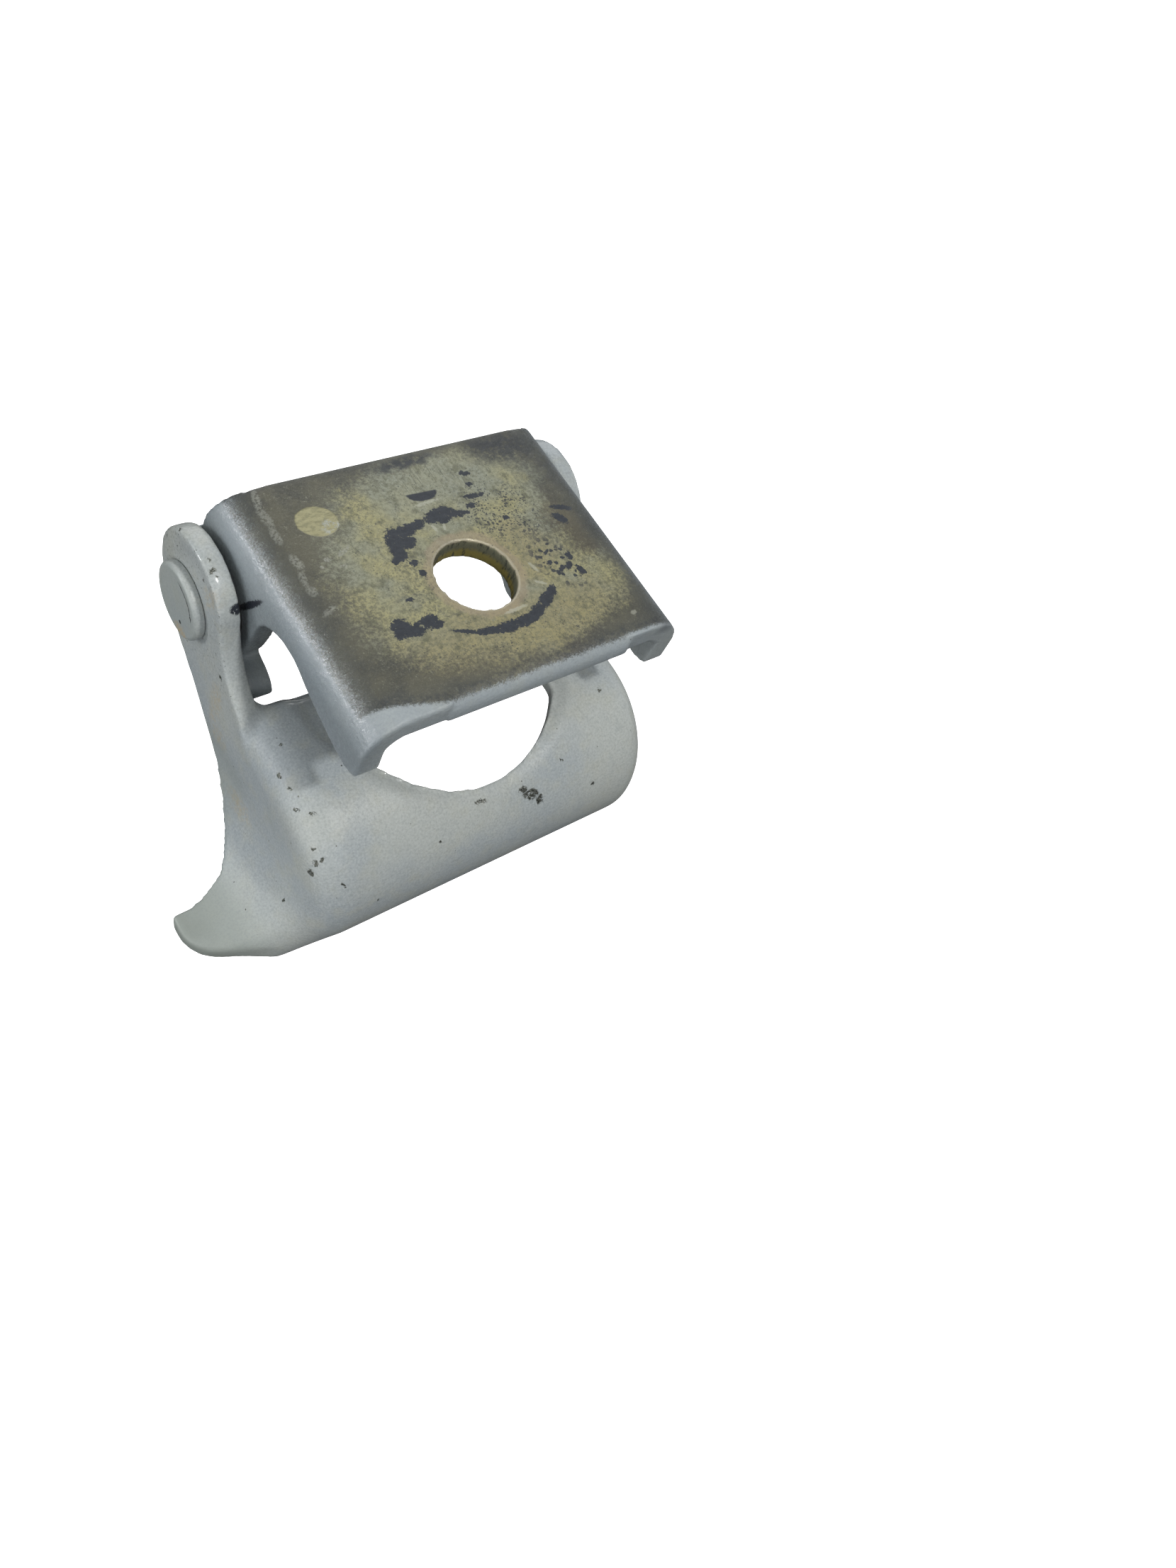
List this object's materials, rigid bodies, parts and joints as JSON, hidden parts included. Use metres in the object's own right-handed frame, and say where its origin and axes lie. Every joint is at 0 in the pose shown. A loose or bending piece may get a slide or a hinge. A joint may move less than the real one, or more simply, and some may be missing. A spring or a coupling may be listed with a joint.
{
  "type": "pressed steel pivot hinge",
  "caption": "Pressed steel vehicle hinge: a short U-channel bracket with a bolt hole pivots on a riveted pin between the ears of a flared, folded arm with a D-shaped opening.",
  "frame": {"origin": "centre of the bolt hole on the outer top face of the channel bracket", "axes": "+X along the pivot axis to the right-hand ear, +Y towards the pivot, +Z out of the bracket's mounting face, up"},
  "size_m": [0.0844, 0.0508, 0.0669],
  "materials": {
    "zinc_sheet": "worn olive-bronze zinc with grey paint on the bends",
    "grey_paint": "glossy light grey paint over steel",
    "bush": "dark thin bush"
  },
  "bodies": {
    "channel": {"channel_bracket": "zinc_sheet", "bush_left": "bush", "bush_right": "bush"},
    "arm": {"arm": "grey_paint", "hinge_pin": "grey_paint"}
  },
  "joints": [
    {"name": "pivot", "type": "hinge", "parent": "channel", "child": "arm", "pos_m": [0, 0.0184, -0.0152], "axis": [1, 0, 0], "range_deg": [-12, 75]}
  ]
}
